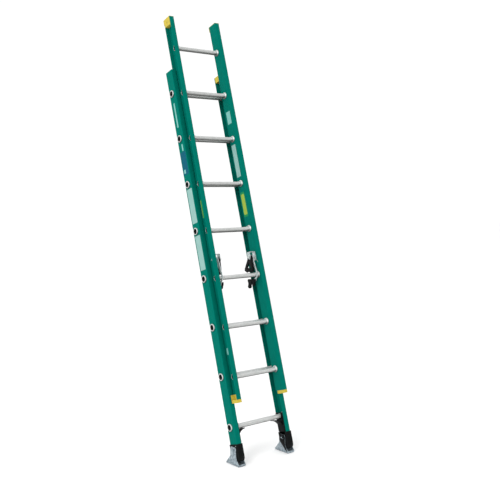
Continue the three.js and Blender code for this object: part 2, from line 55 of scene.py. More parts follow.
FLY_WEB = 161.5  # inside of the fly webs
RAIL_DEPTH = 73
RAIL_FLANGE = 33
RAIL_WALL = 4.5
FLY_Y = -62.5
BASE_RAIL_ENDS = (-150, 2288)
FLY_RAIL_ENDS = (158, 2630)
BASE_RUNG_Y = 3
NECK_HOLE = 17.9
BASE_RING = (23, 8)  # radius and length of the swaged rings outside the webs
FLY_RING = (20, 3)
RUNG_D = [(-16, 10, 3), (-16, -15, 14), (16, -15, 14), (16, 10, 3)]
GAP = 0.3
BOLT_HOLE = 5.4
PIN_HOLE = 3.9
HEAD_HEIGHT = 6  # of the bolts
BOLT_END = 10  # from the face its nut bears on to the end of a bolt
SHOE_PIVOT_Z = -132
SHOE_OUTER = 216.5
SHOE_INNER = 164.5
SHOE_FRONT, SHOE_BACK = -50, 78
SHOE_STEEL = 3
FLOOR = -94  # below the shoes' pivot
PAD_THICKNESS = 10
LOCK_RUNG = 3
LOCK_PIVOT = 116  # above the rung that carries the locks
FINGER_PIVOT = (30, -44)
BRACKET_REACH = 46

HALF = RAIL_DEPTH / 2
CHANNEL_HALF = HALF - RAIL_WALL
BASE_WEB_INNER = BASE_WEB - RAIL_WALL
FLY_WEB_OUTER = FLY_WEB + RAIL_WALL
LOCK_Z = LOCK_RUNG * RUNG_PITCH - FLY_RUNG_DROP

# ------------------------------------------------------------ frames
JOINTS = {joint["name"]: joint for joint in frame["joints"]}
UP = Vector(JOINTS["fly_slide"]["axis"])
LEAN = math.atan2(UP.y, UP.z)
shoe_pivot = Vector((0, *JOINTS["left_shoe_swivel"]["pos_m"][1:]))
ladder_zero = shoe_pivot - UP * SHOE_PIVOT_Z * 0.001
MM = Matrix.Scale(0.001, 4)
STRAIGHT = Matrix.Translation(ladder_zero) @ Matrix.Rotation(-LEAN, 4, "X") @ MM
LEVEL = Matrix.Translation(shoe_pivot) @ MM
LOCK = STRAIGHT @ Matrix.Translation((0, FLY_Y, LOCK_Z))
MIRROR = Matrix.Scale(-1, 4, (1, 0, 0))


# ------------------------------------------------------------ mesh helpers
def outline(corners, steps=6):
    """Closed outline through (x, y, radius) corners, each eased over that length."""
    points = []
    for i, (x, y, *radius) in enumerate(corners):
        corner = Vector((x, y))
        if not radius:
            points.append(corner)
            continue
        before = Vector(corners[i - 1][:2])
        after = Vector(corners[(i + 1) % len(corners)][:2])
        start = corner + (before - corner).normalized() * radius[0]
        end = corner + (after - corner).normalized() * radius[0]
        for k in range(steps + 1):
            t = k / steps
            points.append(start * (1 - t) ** 2 + corner * 2 * t * (1 - t) + end * t * t)
    return points


def box_outline(x0, y0, x1, y1, radius):
    return outline([(x0, y0, radius), (x1, y0, radius), (x1, y1, radius), (x0, y1, radius)])


PLACES = {
    "X": lambda p, along: (along, p[0], p[1]),
    "Y": lambda p, along: (p[0], along, p[1]),
    "Z": lambda p, along: (p[0], p[1], along),
}


def tidy(bm):
    bmesh.ops.remove_doubles(bm, verts=bm.verts, dist=0.005)
    bmesh.ops.recalc_face_normals(bm, faces=bm.faces)
    return bm


def prism(points, axis, low, high):
    """A closed outline pushed along an axis, between two places on it."""
    bm = bmesh.new()
    ends = [[bm.verts.new(PLACES[axis](p, along)) for p in points] for along in (low, high)]
    for end in ends:
        bm.faces.new(end)
    for i in range(len(points)):
        bm.faces.new((ends[0][i - 1], ends[0][i], ends[1][i], ends[1][i - 1]))
    return tidy(bm)


def block(x0, y0, z0, x1, y1, z1):
    return prism([(x0, y0), (x1, y0), (x1, y1), (x0, y1)], "Z", z0, z1)


def bridge(bm, first, second):
    """Faces between two rings of vertices; a ring of one vertex is a point on the axis."""
    made = []
    for k in range(max(len(first), len(second))):
        corners = [ring[j % len(ring)] for ring, j in
                   ((first, k), (first, k + 1), (second, k + 1), (second, k))]
        unique = list(dict.fromkeys(corners))
        if len(unique) > 2:
            made.append(bm.faces.new(unique))
    return made


def turned(profile, y=0, z=0, sides=32, closed=False):
    """A (radius, x) profile turned about a line along X."""
    bm = bmesh.new()
    rings = []
    for radius, x in profile:
        angles = [2 * math.pi * k / sides for k in range(sides)] if radius > 0 else [0]
        rings.append([bm.verts.new((x, y + radius * math.cos(a), z + radius * math.sin(a)))
                      for a in angles])
    for i in range(len(rings) if closed else len(rings) - 1):
        bridge(bm, rings[i], rings[(i + 1) % len(rings)])
    return tidy(bm)


def rod(radius, x0, x1, y=0, z=0, sides=32):
    return turned([(0, x0), (radius, x0), (radius, x1), (0, x1)], y, z, sides)


def tube(points, radius, sides=12):
    """A round wire along a line of points."""
    bm = bmesh.new()
    rings = []
    side = None
    for i, point in enumerate(points):
        ahead = (points[min(i + 1, len(points) - 1)] - points[max(i - 1, 0)]).normalized()
        if side is None:
            side = ahead.orthogonal()
        side = (side - ahead * side.dot(ahead)).normalized()
        across = ahead.cross(side)
        rings.append([bm.verts.new(point + radius * (side * math.cos(a) + across * math.sin(a)))
                      for a in (2 * math.pi * k / sides for k in range(sides))])
    for first, second in zip(rings, rings[1:]):
        bridge(bm, first, second)
    bm.faces.new(rings[0])
    bm.faces.new(rings[-1])
    return tidy(bm)


def together(*parts):
    """Several closed bodies as one mesh."""
    whole = bmesh.new()
    for part in parts:
        mesh = bpy.data.meshes.new("part")
        part.to_mesh(mesh)
        part.free()
        whole.from_mesh(mesh)
        bpy.data.meshes.remove(mesh)
    return whole


def temporary(bm):
    mesh = bpy.data.meshes.new("temporary")
    bm.to_mesh(mesh)
    bm.free()
    obj = bpy.data.objects.new("temporary", mesh)
    bpy.context.scene.collection.objects.link(obj)
    return obj


def combine(first, second, operation):
    """Cuts the second solid from the first, or joins them."""
    target, tool = temporary(first), temporary(second)
    modifier = target.modifiers.new("combine", "BOOLEAN")
    modifier.operation = operation
    modifier.solver = "EXACT"
    modifier.object = tool
    depsgraph = bpy.context.evaluated_depsgraph_get()
    mesh = bpy.data.meshes.new_from_object(target.evaluated_get(depsgraph))
    result = bmesh.new()
    result.from_mesh(mesh)
    for obj in (target, tool):
        data = obj.data
        bpy.data.objects.remove(obj)
        bpy.data.meshes.remove(data)
    bpy.data.meshes.remove(mesh)
    return result


def cut(bm, *cutters):
    return combine(bm, together(*cutters), "DIFFERENCE")


def join(bm, *others):
    return combine(bm, together(*others), "UNION")


def soften(bm, width, segments=2, angle=35):
    """Rounds every edge that turns by more than this many degrees."""
    bmesh.ops.remove_doubles(bm, verts=bm.verts, dist=0.01)
    bmesh.ops.dissolve_limit(bm, angle_limit=math.radians(0.6), verts=bm.verts, edges=bm.edges)
    sharp = [e for e in bm.edges
             if len(e.link_faces) == 2 and e.calc_face_angle() > math.radians(angle)]
    bmesh.ops.bevel(bm, geom=sharp, offset=width, segments=segments, profile=0.5,
                    affect="EDGES", clamp_overlap=True)
    return bm


def piece(name, bm, body, material, place=STRAIGHT, stands_for=(), side="right",
          smooth=32):
    """Turns a drawing into a scene object that rides on a body."""
    if side == "left":
        bm.transform(MIRROR)
        bmesh.ops.reverse_faces(bm, faces=bm.faces)
    bm.transform(place)
    mesh = bpy.data.meshes.new(name)
    bm.to_mesh(mesh)
    bm.free()
    mesh.shade_smooth()
    mesh.set_sharp_from_angle(angle=math.radians(smooth))
    mesh.materials.append(material)
    obj = bpy.data.objects.new(name, mesh)
    bpy.context.scene.collection.objects.link(obj)
    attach(obj, body)
    if stands_for:
        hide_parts(*stands_for)
    return obj


def pair(node, draw, body, material, place=STRAIGHT, smooth=32):
    """The left and right copies of a piece that stands for a CAD node on each side."""
    for side in ("left", "right"):
        on = body if body in ("base_section", "fly_section") else f"{body}_{side}"
        piece(f"{node}_{side}_look", draw(), on, material, place,
              stands_for=[f"{node}_{side}"], side=side, smooth=smooth)


def trim(name, draw, body, material, place=STRAIGHT, sides=("left", "right")):
    """Small fixings and labels that have no CAD node of their own."""
    for side in sides:
        on = body if body in ("base_section", "fly_section") else f"{body}_{side}"
        piece(f"{name}_{side}", draw(), on, material, place, side=side)


# ------------------------------------------------------------ material helpers
class Surface:
    """A Principled material, with a short way to add and link nodes."""

    def __init__(self, name):
        self.material = bpy.data.materials.new(name)
        self.material.use_nodes = True
        self.tree = self.material.node_tree
        self.shader = self.tree.nodes["Principled BSDF"]

    def node(self, kind, settings=None, **inputs):
        made = self.tree.nodes.new(kind)
        for key, value in (settings or {}).items():
            setattr(made, key, value)
        for key, value in inputs.items():
            self.give(made.inputs[key.replace("_", " ")], value)
        return made

    def give(self, socket, value):
        if isinstance(value, bpy.types.NodeSocket):
            self.tree.links.new(value, socket)
        else:
            socket.default_value = value

    def set(self, **inputs):
        for key, value in inputs.items():
            self.give(self.shader.inputs[key.replace("_", " ")], value)

    def coordinates(self, cell, lean=LEAN):
        """Object coordinates turned to the ladder's own directions, in cells of this size."""
        source = self.node("ShaderNodeTexCoord")
        turned_by = self.node("ShaderNodeMapping", {"vector_type": "TEXTURE"},
                              Vector=source.outputs["Object"], Rotation=(-lean, 0, 0), Scale=cell)
        return turned_by.outputs["Vector"]

    def noise(self, cell, detail=3.0, roughness=0.5, lean=LEAN):
        made = self.node("ShaderNodeTexNoise", Vector=self.coordinates(cell, lean), Scale=1.0,
                         Detail=detail, Roughness=roughness)
        return made.outputs["Fac"]

    def remap(self, value, low, high, start=0.3, end=0.7):
        made = self.node("ShaderNodeMapRange", Value=value)
        for socket, number in zip(list(made.inputs)[1:5], (start, end, low, high)):
            socket.default_value = number
        return made.outputs["Result"]

    def ramp(self, value, *stops):
        made = self.node("ShaderNodeValToRGB", Fac=value)
        elements = made.color_ramp.elements
        while len(elements) < len(stops):
            elements.new(0.5)
        for element, (position, colour) in zip(elements, stops):
            element.position = position
            element.color = (*colour, 1)
        return made.outputs["Color"]

    def blend(self, amount, first, second, mode="MIX"):
        made = self.node("ShaderNodeMix", {"data_type": "RGBA", "blend_type": mode})
        for index, value in ((0, amount), (6, first), (7, second)):
            self.give(made.inputs[index], value)
        return made.outputs[2]

    def bump(self, height, distance, strength=1.0, normal=None):
        made = self.node("ShaderNodeBump", Height=height, Distance=distance, Strength=strength)
        if normal is not None:
            self.give(made.inputs["Normal"], normal)
        return made.outputs["Normal"]


def linear(*channels):
    """Linear light from 0-255 display values."""
    return tuple((c / 255 / 12.92) if c / 255 <= 0.04045 else ((c / 255 + 0.055) / 1.055) ** 2.4
                 for c in channels)


def scaled(colour, factor):
    return tuple(min(1, c * factor) for c in colour)


# ------------------------------------------------------------ materials
def fibreglass_material():
    """Pultruded fibreglass: glass strands along the rail under a satin resin skin."""
    surface = Surface("fibreglass")
    base = linear(0, 106, 93)
    strands = surface.noise((0.0016, 0.0016, 0.09), detail=4, roughness=0.6)
    veil = surface.noise((0.012, 0.012, 0.03), detail=5, roughness=0.65)
    tone = surface.ramp(veil, (0.25, scaled(base, 0.86)), (0.5, base), (0.8, scaled(base, 1.12)))
    streaked = surface.ramp(strands, (0.3, (0.84, 0.86, 0.86)), (0.62, (1, 1, 1)))
    surface.set(
        Base_Color=surface.blend(0.8, tone, streaked, "MULTIPLY"),
        Roughness=surface.remap(veil, 0.42, 0.56),
        Normal=surface.bump(strands, 0.00012, 0.6, surface.bump(veil, 0.0004, 0.35)),
        IOR=1.5,
        Specular_IOR_Level=0.01,
    )
    return surface.material


def upward(surface):
    """How far a surface faces up: 0 straight down, 1 straight up."""
    geometry = surface.node("ShaderNodeNewGeometry")
    parts = surface.node("ShaderNodeSeparateXYZ", Vector=geometry.outputs["Normal"])
    return surface.remap(parts.outputs["Z"], 0, 1, start=-1, end=1)


def aluminium_material():
    """Extruded aluminium, with die lines along the rung and painted shade that darkens its underside."""
    surface = Surface("aluminium")
    lines = surface.noise((0.35, 0.0005, 0.0005), detail=3, roughness=0.6, lean=0)
    patches = surface.noise((0.05, 0.012, 0.012), detail=5, roughness=0.65, lean=0)
    tone = surface.ramp(patches, (0.3, (0.56, 0.57, 0.565)), (0.7, (0.72, 0.725, 0.72)))
    # painted shade: the colour darkens as the surface turns to face down, standing in for the shade under
    # each rung
    painted_underside_shade = surface.ramp(upward(surface), (0.08, (0.13, 0.128, 0.124)), (0.32, (0.3, 0.296, 0.29)),
                        (0.48, (0.9, 0.91, 0.9)), (0.8, (1, 1, 1)))
    surface.set(
        Base_Color=surface.blend(1.0, tone, painted_underside_shade, "MULTIPLY"),
        Metallic=0.5,
        Roughness=surface.remap(lines, 0.36, 0.52),
        Normal=surface.bump(lines, 0.00015, 0.5),
    )
    return surface.material


def bore_material():
    """The inside of the rungs: painted shade, near black, with a mottled oxide."""
    surface = Surface("rung_bore_painted_shade")
    stains_and_shade = surface.noise((0.02, 0.01, 0.01), detail=4)
    surface.set(
        # painted shade: the near-black colour stands in for the shade inside the bore, with slight oxide
        # mottling
        Base_Color=surface.ramp(stains_and_shade, (0.3, (0.006, 0.009, 0.009)), (0.7, (0.016, 0.02, 0.02))),
        Roughness=surface.remap(stains_and_shade, 0.7, 0.9),
        Specular_IOR_Level=0.1,
    )
    return surface.material


def moulded_material(name, base, rough=0.48, grain=0.0009, gloss=0.4):
    """Injection-moulded plastic with a fine spark-eroded grain."""
    surface = Surface(name)
    fine = surface.noise((grain, grain, grain), detail=2)
    soft = surface.noise((0.02, 0.02, 0.02), detail=3)
    surface.set(
        Base_Color=surface.ramp(soft, (0.3, scaled(base, 0.85)), (0.7, scaled(base, 1.08))),
        Roughness=surface.remap(soft, rough - 0.06, rough + 0.08),
        Normal=surface.bump(fine, 0.00012, 0.5),
        IOR=1.48,
        Specular_IOR_Level=gloss,
    )
    return surface.material


def steel_material(name, dark, light, rough=0.4, spangle=0.007):
    """Zinc-coated steel: crystal spangle under a dull bloom."""
    surface = Surface(name)
    cells = surface.node("ShaderNodeTexVoronoi", Vector=surface.coordinates((spangle,) * 3), Scale=1.0)
    facets = surface.node("ShaderNodeSeparateColor", Color=cells.outputs["Color"])
    bloom = surface.noise((0.018, 0.018, 0.018), detail=5, roughness=0.65)
    tone = surface.ramp(facets.outputs["Red"], (0.0, dark), (1.0, light))
    dulled = surface.ramp(bloom, (0.35, (0.74, 0.76, 0.78)), (0.65, (1, 1, 1)))
    surface.set(
        Base_Color=surface.blend(0.8, tone, dulled, "MULTIPLY"),
        Metallic=0.8,
        Roughness=surface.remap(bloom, rough - 0.08, rough + 0.14),
        Normal=surface.bump(bloom, 0.0002, 0.3),
    )
    return surface.material


def coated_material(name, base):
    """Black powder coat with a slight orange peel and paler rubbed patches."""
    surface = Surface(name)
    peel = surface.noise((0.0018, 0.0018, 0.0018), detail=2)
    rubbed = surface.noise((0.012, 0.012, 0.02), detail=5, roughness=0.7)
    surface.set(
        Base_Color=surface.ramp(rubbed, (0.55, base), (0.78, scaled(base, 1.8))),
        Metallic=0.0,
        Roughness=surface.remap(rubbed, 0.45, 0.65),
        Normal=surface.bump(peel, 0.00025, 0.4),
        Specular_IOR_Level=0.1,
    )
    return surface.material


def rubber_material():
    surface = Surface("rubber")
    dust = surface.noise((0.006, 0.006, 0.006), detail=6, roughness=0.7)
    fine = surface.noise((0.0012, 0.0012, 0.0012), detail=2)
    surface.set(
        Base_Color=surface.ramp(dust, (0.4, (0.018, 0.018, 0.019)), (0.75, (0.06, 0.06, 0.058))),
        Roughness=surface.remap(dust, 0.72, 0.92),
        Normal=surface.bump(fine, 0.0003, 0.5),
    )
    return surface.material


def label_material(name, base, metallic=0.0, rough=0.35):
    """Printed film: even colour, a slight ripple where it bridges the fibre texture."""
    surface = Surface(name)
    ripple = surface.noise((0.012, 0.012, 0.04), detail=3)
    surface.set(
        Base_Color=surface.ramp(ripple, (0.3, scaled(base, 0.88)), (0.7, base)),
        Metallic=metallic,
        Roughness=surface.remap(ripple, rough - 0.08, rough + 0.1),
        Normal=surface.bump(ripple, 0.0002, 0.4),
        Specular_IOR_Level=0.05,
    )
    return surface.material


FIBREGLASS = fibreglass_material()
ALUMINIUM = aluminium_material()
BORE = bore_material()
YELLOW = moulded_material("yellow_plastic", linear(188, 168, 62), gloss=0.2)
BLACK = moulded_material("black_plastic", linear(6, 9, 10), rough=0.5, gloss=0.1)
BLACK_STEEL = coated_material("black_steel", linear(5, 8, 9))
GALVANISED = steel_material("galvanised", linear(118, 130, 138), linear(184, 196, 202), 0.42)
BRIGHT_STEEL = steel_material("bright_steel", linear(178, 190, 190), linear(232, 238, 236), 0.45)
ZINC = steel_material("zinc_steel", linear(190, 196, 194), linear(232, 236, 234), 0.3, 0.004)
RUBBER = rubber_material()
FOIL = label_material("silver_film", linear(138, 176, 170), 0.1, 0.4)
WHITE_FILM = label_material("white_film", linear(118, 178, 170))
YELLOW_FILM = label_material("yellow_film", linear(148, 170, 66))
GREEN_FILM = label_material("green_film", linear(30, 132, 78))
BLUE_FILM = label_material("blue_film", linear(0, 84, 104))


# ------------------------------------------------------------ rails
def channel(web, reach, centre):
    """C section: web outside at web, flanges towards reach (+1 outwards, -1 inwards)."""
    tip = web + reach * RAIL_FLANGE
    inside = web + reach * RAIL_WALL
    outer, inner = HALF, HALF - RAIL_WALL
    return outline([
        (web, centre - outer, 4), (tip, centre - outer, 1.6), (tip, centre - inner, 1.6),
        (inside, centre - inner, 2.5), (inside, centre + inner, 2.5), (tip, centre + inner, 1.6),
        (tip, centre + outer, 1.6), (web, centre + outer, 4)], steps=5)


def base_rung_z(i):
    return i * RUNG_PITCH


def fly_rung_z(i):
    return (i + 1) * RUNG_PITCH - FLY_RUNG_DROP


def base_rail():
    bar = prism(channel(BASE_WEB, -1, 0), "Z", *BASE_RAIL_ENDS)
    holes = [rod(NECK_HOLE, BASE_WEB_INNER - 1, BASE_WEB + 1, BASE_RUNG_Y, base_rung_z(i), 48)
             for i in range(RUNG_COUNT)]
    return cut(bar, *holes, rod(BOLT_HOLE, BASE_WEB_INNER - 1, BASE_WEB + 1, 0, SHOE_PIVOT_Z))


def fly_rail():
    bar = prism(channel(FLY_WEB, 1, FLY_Y), "Z", *FLY_RAIL_ENDS)
    holes = [rod(NECK_HOLE, FLY_WEB - 1, FLY_WEB_OUTER + 1, FLY_Y, fly_rung_z(i), 48)
             for i in range(RUNG_COUNT)]
    pivot = rod(BOLT_HOLE, FLY_WEB - 1, FLY_WEB_OUTER + 1, FLY_Y, LOCK_Z + LOCK_PIVOT)
    return cut(bar, *holes, pivot)


pair("base_rail", base_rail, "base_section", FIBREGLASS)
pair("fly_rail", fly_rail, "fly_section", FIBREGLASS)

# ------------------------------------------------------------ rungs
FLUTE_DEPTH = 0.55
FLUTES = 30
AROUND = 180  # points round a rung
BORE_STATIONS = 6  # the last stations of each half, inside the bore, which carries painted shade


def even_outline(points, count):
    """The same closed outline with evenly spaced points."""
    spans = [(b - a).length for a, b in zip(points, points[1:] + points[:1])]
    step = sum(spans) / count
    result = []
    for k in range(count):
        left = k * step
        for i, span in enumerate(spans):
            if left <= span:
                break
            left -= span
        result.append(points[i].lerp(points[(i + 1) % len(points)], left / span if span else 0))
    return result


def rung_section(scale, roundness, radius, flutes):
    """The D section, eased towards a circle, with flutes along the rung."""
    points = even_outline(outline(RUNG_D, 12), AROUND)
    section = []
    for k, point in enumerate(points):
        wave = 0.5 - 0.5 * math.cos(2 * math.pi * FLUTES * k / AROUND)
        depth = flutes * FLUTE_DEPTH * wave ** 2
        flat = point * scale - point.normalized() * depth
        section.append(flat.lerp(point.normalized() * radius, roundness))
    return section


def rung(web_inner, web_outer, ring):
    """A hollow fluted rung, swaged round at each end and rolled over the outside of the web."""
    ring_radius, ring_length = ring
    end = web_outer + ring_length
    stations = [  # x, scale, roundness, radius, flutes
        (0, 1, 0, 0, 1),
        (web_inner - 34, 1, 0, 0, 1),
        (web_inner - 26, 1, 0.25, 16.4, 0.7),
        (web_inner - 18, 1, 0.75, 16.4, 0.25),
        (web_inner - 12, 1, 1, 16.3, 0),
        (web_inner - 8, 1, 1, 16.3, 0),
        (web_inner - 7, 1, 1, 17.4, 0),
        (web_inner - 6, 1, 1, 19.6, 0),
        (web_inner - 4.6, 1, 1, 21.1, 0),
        (web_inner - 2.8, 1, 1, 21.5, 0),
        (web_inner - 1.2, 1, 1, 21.1, 0),
        (web_inner - GAP, 1, 1, 20.2, 0),
        (web_inner - GAP, 1, 1, 17.5, 0),
        (web_outer + GAP, 1, 1, 17.5, 0),
        (web_outer + GAP, 1, 1, ring_radius - 1.2, 0),
        (web_outer + GAP + 0.7, 1, 1, ring_radius - 0.3, 0),
        (end - 1.3, 1, 1, ring_radius, 0),
        (end - 0.4, 1, 1, ring_radius - 0.8, 0),
        (end, 1, 1, ring_radius - 2.2, 0),
        (end, 1, 1, 18, 0),
        (end - 0.6, 1, 1, 17, 0),
        (end - 1.8, 1, 1, 16.3, 0),
        (web_outer - 2, 1, 1, 15.9, 0),
        (web_inner - 16, 1, 1, 14.4, 0),
        (web_inner - 34, 0.84, 0, 0, 0),
        (0, 0.84, 0, 0, 0),
    ]
    bm = bmesh.new()
    rings = []
    for direction in (1, -1):
        for x, scale, roundness, radius, flutes in stations[::direction]:
            if x == 0 and direction < 0:
                continue
            section = rung_section(scale, roundness, radius, flutes)
            rings.append([bm.verts.new((direction * x, y, z)) for y, z in section])
    inside = range(len(stations) - BORE_STATIONS, len(stations) + BORE_STATIONS - 2)
    # faces inside the bore take the second material, which paints the shade of the hollow
    for i, first in enumerate(rings):
        for face in bridge(bm, first, rings[(i + 1) % len(rings)]):
            face.material_index = int(i in inside)
    bmesh.ops.recalc_face_normals(bm, faces=bm.faces)
    return bm


def rungs(section, drawing, y, height_of):
    mesh = bpy.data.meshes.new(f"{section}_rung")
    drawing.transform(MM)
    drawing.to_mesh(mesh)
    drawing.free()
    mesh.shade_smooth()
    mesh.set_sharp_from_angle(angle=math.radians(50))
    mesh.materials.append(ALUMINIUM)
    mesh.materials.append(BORE)
    for i in range(RUNG_COUNT):
        obj = bpy.data.objects.new(f"{section}_rung_{i + 1}_look", mesh)
        bpy.context.scene.collection.objects.link(obj)
        obj.location = STRAIGHT @ Vector((0, y, height_of(i)))
        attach(obj, f"{section}_section")
        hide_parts(f"{section}_rung_{i + 1}")


rungs("base", rung(BASE_WEB_INNER, BASE_WEB, BASE_RING), BASE_RUNG_Y, base_rung_z)
rungs("fly", rung(FLY_WEB, FLY_WEB_OUTER, FLY_RING), FLY_Y, fly_rung_z)


# ------------------------------------------------------------ moulded caps
def channel_room(web, reach, centre, low, high):
    """The space that a rail takes up inside a cap, with the gap all round it."""
    outside, tip = web - reach * GAP, web + reach * (RAIL_FLANGE + GAP)
    inside = web + reach * (RAIL_WALL + GAP)
    outer, inner = HALF + GAP, CHANNEL_HALF - GAP
    return prism(outline([
        (outside, centre - outer), (tip, centre - outer), (tip, centre - inner),
        (inside, centre - inner, 2.5), (inside, centre + inner, 2.5), (tip, centre + inner),
        (tip, centre + outer), (outside, centre + outer)]), "Z", low, high)


CAP_WALL = 4
BASE_PLUG_DEPTH = 36
BASE_CAP_PROUD = 2  # above the end of the rail
GROOVE_FRONT = -21  # the base plug's front, clear of the fly section's back flange


def base_top_cap():
    """A hollow plug between the flanges, with a lip over the back one."""
    rail_top = BASE_RAIL_ENDS[1]
    low, high = rail_top - BASE_PLUG_DEPTH, rail_top + BASE_CAP_PROUD
    tip, inside, back = BASE_WEB - RAIL_FLANGE, BASE_WEB_INNER - GAP, CHANNEL_HALF - GAP
    plug = prism(box_outline(tip, GROOVE_FRONT, inside, back, 3), "Z", low, high)
    lip = prism(box_outline(tip, GROOVE_FRONT, inside, HALF, 2), "Z", rail_top + GAP, high)
    room = box_outline(tip + CAP_WALL, GROOVE_FRONT + CAP_WALL, inside - CAP_WALL, back - CAP_WALL, 2)
    pocket = prism(room, "Z", low - 1, rail_top - CAP_WALL)
    return soften(cut(join(plug, lip), pocket), 0.7)


FLY_PLUG_DEPTH = 52
FLY_CAP_PROUD = 1.9  # above the end of the rail
WALL_PAD_DEPTH = 34
WALL_PAD = 2.9  # behind the rail


def fly_top_cap():
    """A plug, a thin cover over the end of the rail and a pad that rests on the wall."""
    rail_top = FLY_RAIL_ENDS[1]
    seat, high = rail_top + GAP, rail_top + FLY_CAP_PROUD
    low, pad_low = rail_top - FLY_PLUG_DEPTH, rail_top - WALL_PAD_DEPTH
    front, back = FLY_Y - CHANNEL_HALF + GAP, FLY_Y + CHANNEL_HALF - GAP
    rest, tip = FLY_Y + HALF + WALL_PAD, FLY_WEB + RAIL_FLANGE
    shell = prism(outline([
        (front, low, 5), (back, low, 5), (back, pad_low), (rest, pad_low, 2),
        (rest, high, 2), (FLY_Y - HALF, high, 1), (FLY_Y - HALF, seat), (front, seat)]),
        "X", FLY_WEB, tip + 1)
    room = channel_room(FLY_WEB, 1, FLY_Y, low - 8, seat)
    dimple = rod(4.5, tip - 3, tip + 2, FLY_Y + 4, rail_top - 30, 24)
    return soften(cut(shell, room, dimple), 0.6)


GUIDE_FLOOR = 20  # below the end of the rail
GUIDE_DEPTH = 30
GUIDE_BACK = 23  # behind the fly rail's centre, clear of the base section's front flange


def fly_guide_cap():
    """A block under the end of the rail, with a hollow plug between the flanges."""
    rail_low = FLY_RAIL_ENDS[0]
    low, high = rail_low - GUIDE_FLOOR, rail_low + GUIDE_DEPTH
    back, tip = FLY_Y + GUIDE_BACK, FLY_WEB + RAIL_FLANGE
    body = prism(box_outline(FLY_WEB, FLY_Y - HALF, tip, back, 2), "Z", low, high)
    room = channel_room(FLY_WEB, 1, FLY_Y, rail_low - GAP, high + 1)
    inside = box_outline(FLY_WEB + RAIL_WALL + 3, FLY_Y - CHANNEL_HALF + CAP_WALL,
                         tip + 9, back - CAP_WALL, 2)
    return soften(cut(body, room, prism(inside, "Z", rail_low, high + 1)), 0.7)


pair("base_top_cap", base_top_cap, "base_section", YELLOW)
pair("fly_top_cap", fly_top_cap, "fly_section", YELLOW)
pair("fly_guide_cap", fly_guide_cap, "fly_section", YELLOW)

# ------------------------------------------------------------ foot end of the base rails
BOOT_ENDS = (-206, -100)
BOOT_INNER = 170
BOOT_WALL = 3
BOOT_ROUNDING = 34  # of its lower corners
BOOT_HALF = HALF + BOOT_WALL
BOOT_OUTER = BASE_WEB + BOOT_WALL


def boot_rib(x):
    """An upright rib on the front of the boot, from above its rounded corner."""
    low, high = BOOT_ENDS
    root, crest = -BOOT_HALF + 0.8, -BOOT_HALF - 1.6
    section = [(x - 2.2, root), (x - 1, crest), (x + 1, crest), (x + 2.2, root)]
    return soften(prism(section, "Z", low + BOOT_ROUNDING, high - 9), 0.5)


def foot_boot():
    low, high = BOOT_ENDS
    side_view = outline([(-BOOT_HALF, high, 3), (-BOOT_HALF, low, BOOT_ROUNDING),
                         (BOOT_HALF, low, BOOT_ROUNDING), (BOOT_HALF, high, 3)])
    shell = prism(side_view, "X", BOOT_INNER, BOOT_OUTER)
    room = channel_room(BASE_WEB, -1, 0, BASE_RAIL_ENDS[0] - GAP, high + 1)
    pocket = block(BOOT_INNER - 1, -CHANNEL_HALF + 3, SHOE_PIVOT_Z + 12,
                   BASE_WEB_INNER - 5, CHANNEL_HALF - 3, high + 1)
    bolt_hole = rod(BOLT_HOLE, BOOT_INNER - 1, BOOT_OUTER + 1, 0, SHOE_PIVOT_Z)
    body = soften(cut(shell, room, pocket, bolt_hole), 1.2)
    return together(body, *[boot_rib(BOOT_INNER + along) for along in (9, 21, 33)])


BRACE_STEEL = 4
BRACE_PLATE = (-34, -98, 34, 22)  # Y and Z of its corners
BRACE_TIP = BASE_WEB - RAIL_FLANGE - GAP  # where the plate meets the rail
ARM_SEAT = -17.6  # just under the rung
ARM_REACH = 60  # along the rung
ARM_HALF_WIDTH = 22


def rung_brace():
    """Plate over the rail's mouth round the bottom rung, with a bent arm under that rung."""
    plate = prism(box_outline(*BRACE_PLATE, 5), "X", BRACE_TIP - BRACE_STEEL, BRACE_TIP)
    corners = [(1, -42), (10, -37, 10), (36, ARM_SEAT - 1.5, 14), (ARM_REACH, ARM_SEAT),
               (ARM_REACH, ARM_SEAT - BRACE_STEEL), (38, ARM_SEAT - 6.5, 14), (13, -44, 12),
               (4, -62), (1, -62)]
    arm = prism(outline([(BRACE_TIP - reach, *rest) for reach, *rest in corners], 8),
                "Y", BASE_RUNG_Y - ARM_HALF_WIDTH, BASE_RUNG_Y + ARM_HALF_WIDTH)
    hole = rod(20.5, BRACE_TIP - BRACE_STEEL - 1, BRACE_TIP + 1, BASE_RUNG_Y, 0, 48)
    return soften(cut(join(plate, arm), hole), 0.8)


def rivet(x, facing, y, z, radius=4.2):
    """A domed rivet head on a face across X."""
    dome = [(1, 0), (0.96, 0.2), (0.75, 0.42), (0.4, 0.54), (0, 0.58)]  # shares of the radius
    profile = [(radius * out, x + facing * radius * up) for out, up in dome]
    return turned([(0, x - facing * 0.2), *profile], y, z, 20)


def brace_rivets():
    return together(*[rivet(BRACE_TIP - BRACE_STEEL, -1, y, z) for y, z in
                      ((-26, -72), (26, -72), (-26, -90), (26, -90))])


def boot_rivets():
    return together(*[rivet(BOOT_OUTER, 1, y, -112, 3) for y in (-22, 22)])


pair("foot_boot", foot_boot, "base_section", BLACK, smooth=40)
pair("bottom_rung_brace", rung_brace, "base_section", BLACK_STEEL)
trim("brace_rivets", brace_rivets, "base_section", BLACK_STEEL)
trim("boot_rivets", boot_rivets, "base_section", ZINC)


# ------------------------------------------------------------ bolts and nuts
SHANK = 5  # radius
THREAD_LENGTH = 14
THREAD_PITCH = 1.2


